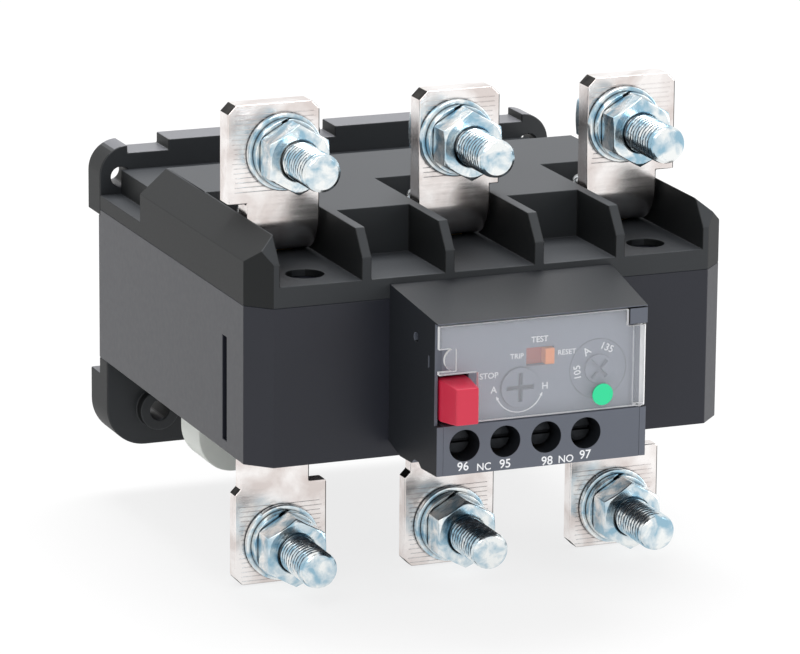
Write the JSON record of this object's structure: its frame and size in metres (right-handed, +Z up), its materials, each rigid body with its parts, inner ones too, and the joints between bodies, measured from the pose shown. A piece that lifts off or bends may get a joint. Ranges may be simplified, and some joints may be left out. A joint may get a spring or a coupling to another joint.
{
  "type": "thermal overload relay",
  "caption": "Three-pole thermal overload relay with bolted bar terminals, control housing, hinged clear cover, stop button, test slider and setting dials.",
  "frame": {"origin": "centre of the rear mounting face", "axes": "+X to the right seen from the front, +Y into the mounting panel, +Z up"},
  "size_m": [0.132, 0.1614, 0.1276],
  "materials": {
    "case_black": "glossy moulded",
    "cover_black": "fine matte texture",
    "plate_black": "satin moulded",
    "foot_grey": "satin moulded",
    "nickel_bar": "nickel plated, brushed",
    "blue_zinc": "blue-passivated zinc",
    "brass": "drawn",
    "bimetal": "rolled",
    "heater_alloy": "oxidised",
    "ivory_plastic": "moulded",
    "module_grey": "fine matte texture",
    "face_grey": "satin moulded",
    "dial_grey": "satin moulded",
    "stop_red": "satin moulded",
    "slider_orange": "satin moulded",
    "clear_plastic": "clear moulded",
    "seal_green": "printed",
    "steel": "plain",
    "silver_contact": "silver alloy",
    "frame_black": "moulded"
  },
  "bodies": {
    "base": {"base_housing": "case_black", "top_cover": "cover_black", "case_screws": "steel", "rear_plate": "plate_black", "feet": "foot_grey", "top_bar_left": "nickel_bar", "top_bar_middle": "nickel_bar", "top_bar_right": "nickel_bar", "bottom_bar_left": "nickel_bar", "bottom_bar_middle": "nickel_bar", "bottom_bar_right": "nickel_bar", "terminal_bolts": "blue_zinc", "flat_washers": "blue_zinc", "spring_washers": "blue_zinc", "terminal_nuts": "blue_zinc", "tab_screws": "steel", "heater_connectors": "brass", "bimetals": "bimetal", "heaters": "heater_alloy", "control_housing": "module_grey", "terminal_block": "module_grey", "contact_strips": "brass", "terminal_screws": "blue_zinc", "wire_clamps": "blue_zinc", "face_plate": "face_grey", "stop_spring": "steel", "mechanism_frame": "frame_black"},
    "clear_cover_body": {"clear_cover": "clear_plastic", "seal_disc": "seal_green"},
    "stop_button_body": {"stop_button": "stop_red"},
    "test_slider_body": {"test_slider": "slider_orange"},
    "mode_dial_body": {"mode_dial": "dial_grey"},
    "current_dial_body": {"current_dial": "dial_grey", "current_cam": "ivory_plastic"},
    "trip_bar_body": {"trip_bar": "ivory_plastic"},
    "trip_lever_body": {"trip_lever": "ivory_plastic"},
    "contact_rocker_body": {"contact_rocker": "ivory_plastic", "moving_contacts": "silver_contact"}
  },
  "joints": [
    {"name": "cover_hinge", "type": "hinge", "parent": "base", "child": "clear_cover_body", "pos_m": [0.0289, -0.1529, 0.008], "axis": [0, 0, 1], "range_deg": [0, 120]},
    {"name": "stop_press", "type": "slide", "parent": "base", "child": "stop_button_body", "axis": [0, 1, 0], "range_m": [0, 0.003], "stiffness_N_per_m": 600, "springref_m": -0.002, "deforming": ["stop_spring"]},
    {"name": "test_slide", "type": "slide", "parent": "base", "child": "test_slider_body", "axis": [1, 0, 0], "range_m": [-0.0045, 0]},
    {"name": "mode_turn", "type": "hinge", "parent": "base", "child": "mode_dial_body", "pos_m": [-0.0034, -0.1516, 0.0048], "axis": [0, 1, 0], "range_deg": [0, 90]},
    {"name": "current_turn", "type": "hinge", "parent": "base", "child": "current_dial_body", "pos_m": [0.0181, -0.1516, 0.0077], "axis": [0, 1, 0], "range_deg": [-120, 120]},
    {"name": "trip_slide", "type": "slide", "parent": "base", "child": "trip_bar_body", "axis": [1, 0, 0], "range_m": [0, 0.002], "stiffness_N_per_m": 500, "springref_m": -0.001},
    {"name": "lever_turn", "type": "hinge", "parent": "base", "child": "trip_lever_body", "pos_m": [0.024, -0.134, 0.002], "axis": [0, 1, 0], "range_deg": [0, 9.6]},
    {"name": "rocker_turn", "type": "hinge", "parent": "base", "child": "contact_rocker_body", "pos_m": [0.002, -0.13975, 0.004], "axis": [0, 1, 0], "range_deg": [0, 9.6]}
  ],
  "couplings": [
    {"joint": "lever_turn", "follows": "trip_slide", "rad_per_m": 82.903},
    {"joint": "rocker_turn", "follows": "trip_slide", "rad_per_m": 82.903}
  ]
}
